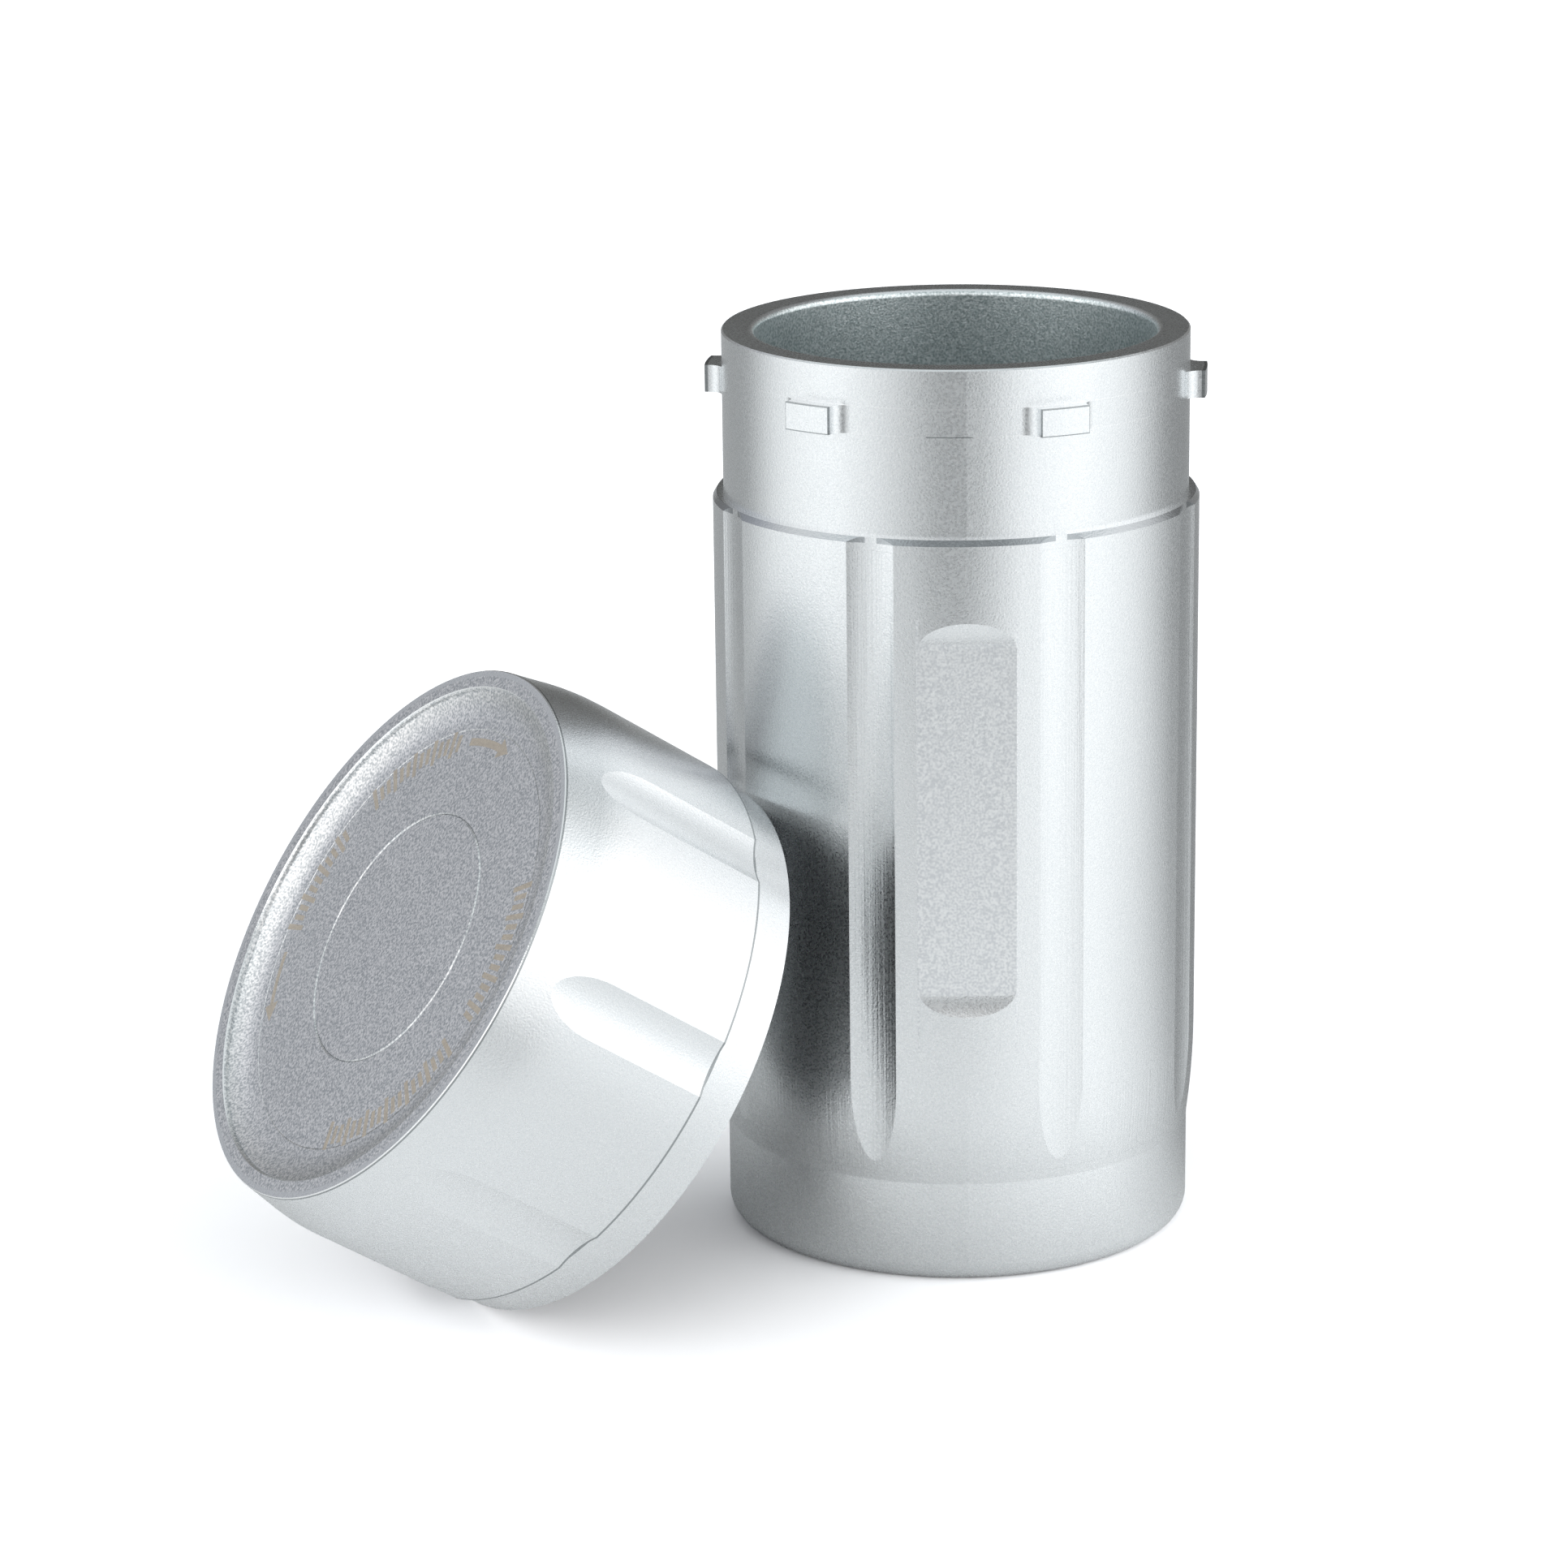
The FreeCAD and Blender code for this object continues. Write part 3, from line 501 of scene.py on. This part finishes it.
def makeCapAluminium(name, look, marks):
    # the same blasted aluminium, a little coarser on the top, with painted shade lines where the cap's side
    # meets the plain band at its rim and just below the top's outer edge, and a painted highlight on the
    # bevel round its top
    material, tree = newMaterial(name)
    place = addNode(tree, "ShaderNodeTexCoord").outputs["Object"]
    tone, rough, bump = blastedGrain(tree, place, look)
    across, along = fromCapAxis(tree, place)
    onTop = whereAll(tree, within(tree, along, marks["topMm"] * millimetre),
                     within(tree, across, highest=marks["topRadiusMm"] * millimetre))
    coarse = betweenTones(tree, coarsePits(tree, place, look), marks["topDark"], marks["topLight"])
    tone = paintOver(tree, tone, onTop, 1.0, coarse)
    # painted shade: dark lines at the step to the rim band and just below the top's outer bevel
    band, bandHalf = marks["bandMm"] * millimetre, marks["bandLineMm"] * millimetre
    edge = marks["edgeMm"] * millimetre
    lines = whereAny(tree, within(tree, along, band - bandHalf, band + bandHalf),
                     within(tree, along, edge - marks["edgeLineMm"] * millimetre, edge))
    lines = whereAll(tree, lines, within(tree, across, marks["bandRadiusMm"] * millimetre))
    tone = paintOver(tree, tone, lines, marks["lineStrength"], toLinear(marks["shadeLineTone"]))
    # painted highlight: a bright tone on the bevel round the top, which is also smoother
    bevel = within(tree, along, edge, edge + marks["bevelHighMm"] * millimetre)
    tone = paintOver(tree, tone, bevel, 1.0, toLinear(marks["bevelHighlightTone"]))
    rough = addNode(tree, "ShaderNodeMix", {"data_type": "FLOAT"},
                    in0=bevel, in2=rough, in3=marks["edgeRoughness"]).outputs[0]
    metalOutput(tree, tone, rough, bump)
    return material


gasket = {"light": "#2c2e31", "dark": "#232528", "roughness": 0.55, "haze": 0.05,
          "grainMm": 0.6, "grainDepthMm": 0.01}
washer = {"light": "#eeece4", "dark": "#e4e1d8", "roughness": 0.38, "haze": 0.05,
          "grainMm": 1.5, "grainDepthMm": 0.004}


def makeMoulded(name, look, ior):
    # moulded rubber or plastic with a faint skin texture
    material, tree = newMaterial(name)
    place = addNode(tree, "ShaderNodeTexCoord").outputs["Object"]
    skin = addNode(tree, "ShaderNodeTexNoise", None, Vector=place, Scale=1 / (look["grainMm"] * millimetre),
                   Detail=3.0, Roughness=0.6).outputs["Fac"]
    tone = betweenTones(tree, skin, look["dark"], look["light"])
    rough = addNode(tree, "ShaderNodeMapRange", None, Value=skin, To_Min=look["roughness"] - look["haze"],
                    To_Max=look["roughness"] + look["haze"], **noiseRange).outputs[0]
    bump = addNode(tree, "ShaderNodeBump", None, Height=skin, Strength=1.0,
                   Distance=look["grainDepthMm"] * millimetre).outputs[0]
    shader = addNode(tree, "ShaderNodeBsdfPrincipled", None, Base_Color=tone, Roughness=rough, Normal=bump,
                     IOR=ior)
    addNode(tree, "ShaderNodeOutputMaterial", None, Surface=shader.outputs[0])
    return material


# the cap's own axes: its rim's centre, its axis, and two directions across its top

def makeCapFrame():
    axis = Vector((-0.73506, -0.39579, 0.55048)).normalized()
    front = Vector((0, 0, 1)).cross(axis).normalized()    # level, towards the front
    return {"centre": Vector((-43.671, -23.514, 29.42)) * millimetre, "axis": axis,
            "front": front, "up": axis.cross(front)}


capFrame = makeCapFrame()


def onCap(angleDeg, radiusMm, heightMm):
    # a point of the cap: angle from its upper edge towards the front, radius and height over its rim
    angle = math.radians(angleDeg)
    across = capFrame["front"] * math.sin(angle) + capFrame["up"] * math.cos(angle)
    return capFrame["centre"] + (across * radiusMm + capFrame["axis"] * heightMm) * millimetre


def placePiece(name, corners, faces, material, body):
    # a closed mesh with its faces turned outwards, riding on a body
    mesh = bpy.data.meshes.new(name)
    mesh.from_pydata(corners, [], faces)
    skin = bmesh.new()
    skin.from_mesh(mesh)
    bmesh.ops.recalc_face_normals(skin, faces=skin.faces)
    skin.to_mesh(mesh)
    skin.free()
    piece = bpy.data.objects.new(name, mesh)
    bpy.context.scene.collection.objects.link(piece)
    mesh.materials.append(material)
    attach(piece, body)
    return piece


laserMarks = {
    "dishMm": 31.73,
    "proudMm": 0.012,
    "seatMm": 0.05,    # how far each mark's hidden side lies inside the cap
    "tipWidthMm": 0.05,
    "middleMm": 25.7,
    "arrowWidthMm": (1.0, 0.7),
    "headWidthMm": 2.6,
    "headDeg": 5.5,
    "barbDeg": 0.02,
    "shaftSteps": 16,
    "headSteps": 8,
    "arrows": [(-17.0, 5.5), (-111.5, -133.0)],
    "tickArcs": [(-104.0, -75.0), (-61.0, -23.0), (59.0, 96.0), (106.0, 158.0)],
    "tickStepDeg": 2.9,
    "tickWidthMm": 0.7,
    "tickLengthMm": (2.3, 3.6),    # short ones, and every third one long
    "longTickEvery": 3,
    "light": "#dcd2c2",
    "dark": "#cfc5b6",
    "roughness": (0.3, 0.5),
}


def makeLaserMarks():
    # turning arrows and plain scale ticks, burnt into the anodising round the dish
    corners, faces = [], []
    top = laserMarks["dishMm"] + laserMarks["proudMm"]
    bottom = laserMarks["dishMm"] - laserMarks["seatMm"]
    middle = laserMarks["middleMm"]

    def mark(outline):
        # a thin closed plate through a run of points, given as (angle, half width)
        start, last = len(corners), len(corners) + 4 * len(outline) - 4
        for angle, half in outline:
            for radius, level in ((-half, bottom), (half, bottom), (half, top), (-half, top)):
                corners.append(onCap(angle, middle + radius, level))
        for place in range(start, last, 4):
            for side in range(4):
                after = (side + 1) % 4
                faces.append((place + side, place + after, place + 4 + after, place + 4 + side))
        faces.extend([tuple(range(start, start + 4)), tuple(range(last, last + 4))])

    for (tail, tip), width in zip(laserMarks["arrows"], laserMarks["arrowWidthMm"]):
        turn = 1 if tip > tail else -1
        neck = tip - turn * laserMarks["headDeg"]
        barb = neck + turn * laserMarks["barbDeg"]
        tipHalf, headHalf = laserMarks["tipWidthMm"] / 2, laserMarks["headWidthMm"] / 2
        shaftSteps, headSteps = laserMarks["shaftSteps"], laserMarks["headSteps"]
        shaft = [(tail + (neck - tail) * step / shaftSteps, width / 2) for step in range(shaftSteps + 1)]
        head = [(barb + (tip - barb) * step / headSteps, headHalf + (tipHalf - headHalf) * step / headSteps)
                for step in range(headSteps + 1)]
        mark(shaft + head)
    for first, last in laserMarks["tickArcs"]:
        count = round((last - first) / laserMarks["tickStepDeg"])
        for number in range(count + 1):
            angle = first + (last - first) * number / count
            side = math.degrees(laserMarks["tickWidthMm"] / 2 / middle)
            reach = laserMarks["tickLengthMm"][number % laserMarks["longTickEvery"] == 0] / 2
            mark([(angle - side, reach), (angle + side, reach)])
    material, tree = newMaterial("laserMarkedAnodising")
    place = addNode(tree, "ShaderNodeTexCoord").outputs["Object"]
    finish = {**blasted, **{key: laserMarks[key] for key in ("light", "dark", "roughness")}}
    metalOutput(tree, *blastedGrain(tree, place, finish))
    placePiece("laserMarks", corners, faces, material, "cap")


dishRounding = {
    "radiiMm": (27.3, 32.02),    # from the dish's flat to its wall
    "heightsMm": (31.732, 32.93),    # from the flat to the steep part of the wall
    "seatMm": 0.12,    # how far its hidden sides lie inside the cap
    "steps": 24,
    "segments": 240,
}


def makeDishRounding():
    # the wide rounding where the dish's flat runs up into its wall: a closed ring seated in the cap
    inner, outer = dishRounding["radiiMm"]
    low, high = dishRounding["heightsMm"]
    seat = dishRounding["seatMm"]
    steps, segments = dishRounding["steps"], dishRounding["segments"]
    profile = [(inner + (outer - inner) * step / steps, low + (high - low) * (step / steps) ** 2)
               for step in range(steps + 1)]
    profile += [(outer + seat, high), (outer + seat, low - seat), (inner, low - seat)]
    count = len(profile)
    corners = [onCap(360 * turn / segments, radius, height)
               for turn in range(segments) for radius, height in profile]
    faces = []
    for turn in range(segments):
        here, following = turn * count, (turn + 1) % segments * count
        for place in range(count):
            after = (place + 1) % count
            faces.append((here + place, here + after, following + after, following + place))
    finish = nodes["cap_shell"].data.materials[0]
    rounding = placePiece("dishRounding", corners, faces, finish, "cap")
    rounding.data.polygons.foreach_set("use_smooth", [index % count < steps for index in range(len(faces))])


def dress():
    finishes = {
        "jar_body": makeJarAluminium("blastedJarAluminium", blasted, jarMarks),
        "cap_shell": makeCapAluminium("blastedCapAluminium", {**blasted, **capFinish}, capMarks),
        "centre_disc": makeCapAluminium("blastedDiscAluminium", {**blasted, **capFinish}, capMarks),
        "bayonet_sleeve": makeTurnedMetal("turnedAluminium", turned),
        "retaining_ring": makeTurnedMetal("springSteelRing", steelFinish),
        "pressure_plate": makeTurnedMetal("hardAnodisedPlate", plateFinish),
        "sealing_gasket": makeMoulded("siliconeRubber", gasket, 1.41),
        "slip_washer": makeMoulded("acetal", washer, 1.48),
        "wave_spring": makeTurnedMetal("rolledSpringSteel", steelFinish),
    }
    for name, finish in finishes.items():
        nodes[name].data.materials.clear()
        nodes[name].data.materials.append(finish)


def makeWaveSpring():
    # the wave spring as its own piece, riding on the spring pack
    spring = bpy.data.objects.new("waveSpring", nodes["wave_spring"].data.copy())
    bpy.context.scene.collection.objects.link(spring)
    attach(spring, "spring_pack")
    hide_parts("wave_spring")
    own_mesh(spring)


makeCamera()
print("camera set")
makeSky()
makeFloor()
print("studio made")
dress()
print("pieces dressed")
makeDishRounding()
print("dish rounded")
makeLaserMarks()
print("marks made")
makeWaveSpring()
print("spring made")

bpy.context.scene.view_settings.view_transform = "Standard"
